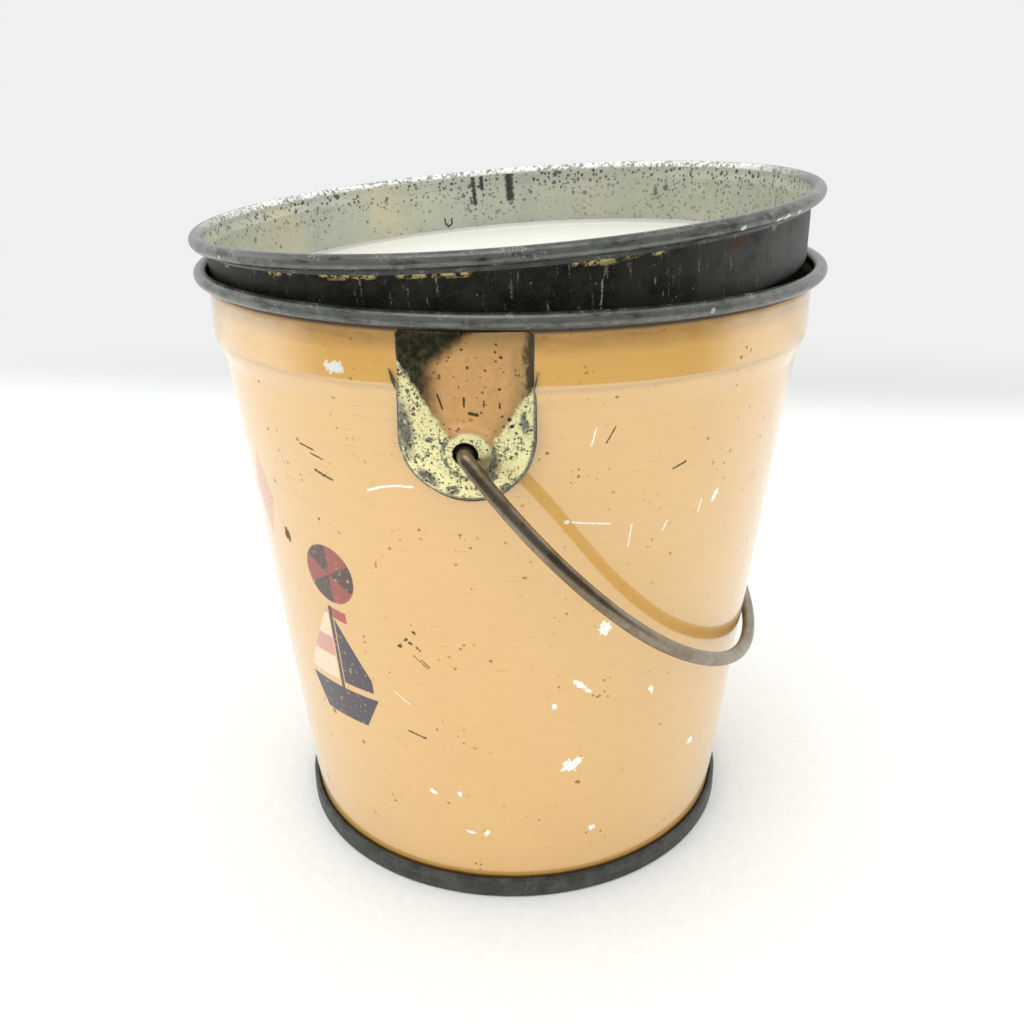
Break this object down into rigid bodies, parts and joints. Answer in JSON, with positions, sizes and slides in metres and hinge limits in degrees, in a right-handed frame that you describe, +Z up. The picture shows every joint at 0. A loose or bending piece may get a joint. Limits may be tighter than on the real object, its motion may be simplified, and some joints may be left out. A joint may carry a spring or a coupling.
{
  "type": "sand bucket",
  "caption": "Small tapered tinplate pail with a press-in lid, rolled rims, domed bail ears and a swinging wire handle.",
  "frame": {"origin": "centre of the ring that the pail stands on, at floor level", "axes": "+Z up along the pail's own axis; -Y towards the front ear and +Y towards the rear ear, with the bail's hinge line along Y; +X towards the side the bail hangs on"},
  "size_m": [0.1002, 0.1076, 0.1105],
  "materials": {
    "peach_enamel": "gloss enamel on tinplate, chipped and scratched",
    "black_lacquer": "worn black lacquer on tinplate, bare spotted tin inside the lid",
    "bare_tinplate": "yellowed, pitted tinplate",
    "bail_steel": "dull tarnished steel wire",
    "steel_wire": "plain drawn steel wire, hidden in the rolled rims",
    "solder": "dull grey soft solder"
  },
  "bodies": {
    "pail": {"pail_wall": "peach_enamel", "side_seam_solder": "solder", "pail_rim_wire": "steel_wire", "bottom_end": "black_lacquer", "front_ear": "bare_tinplate", "rear_ear": "bare_tinplate", "front_ear_solder": "solder", "rear_ear_solder": "solder"},
    "bail": {"bail": "bail_steel"},
    "lid": {"lid_pan": "black_lacquer", "lid_rim_wire": "steel_wire"}
  },
  "joints": [
    {"name": "bail_swing", "type": "hinge", "parent": "pail", "child": "bail", "pos_m": [0, 0, 0.0801], "axis": [0, -1, 0], "range_deg": [0, 272]},
    {"name": "lid_lift", "type": "slide", "parent": "pail", "child": "lid", "axis": [0, 0, 1], "range_m": [0, 0.06]}
  ]
}
